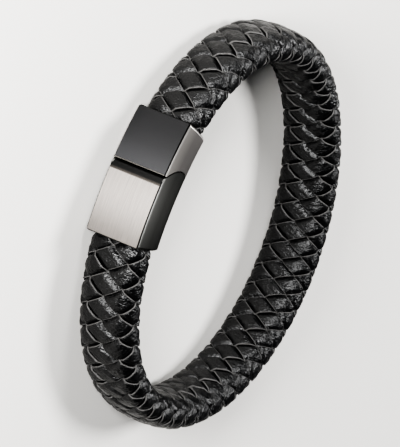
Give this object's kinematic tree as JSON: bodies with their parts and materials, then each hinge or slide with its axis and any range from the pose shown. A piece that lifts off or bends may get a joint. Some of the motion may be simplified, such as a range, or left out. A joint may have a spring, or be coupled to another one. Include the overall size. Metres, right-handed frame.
{
  "type": "braided leather bracelet with magnetic clasp",
  "caption": "Oval loop of flat-braided black leather, its ends held in the two overlapping halves of a slim metal magnetic clasp.",
  "frame": {"origin": "middle of the bracelet's outline, at the height of the clasp's lower side", "axes": "+Z along the wearing axis, up when the bracelet lies on its side; +X from the middle of the loop towards the clasp; +Y along the loop's long way, towards the clasp's lower half"},
  "size_m": [0.0696, 0.0772, 0.0125],
  "materials": {
    "black_leather": "semi-gloss, finely creased black leather laces with slightly paler cut edges",
    "charcoal_steel": "dark matte plated outer face, satin sides",
    "brushed_gunmetal": "outer face brushed lengthwise, satin sides"
  },
  "bodies": {
    "root": {"braided_strap": "black_leather", "clasp_upper_half": "charcoal_steel", "clasp_lower_half": "brushed_gunmetal"}
  },
  "joints": []
}
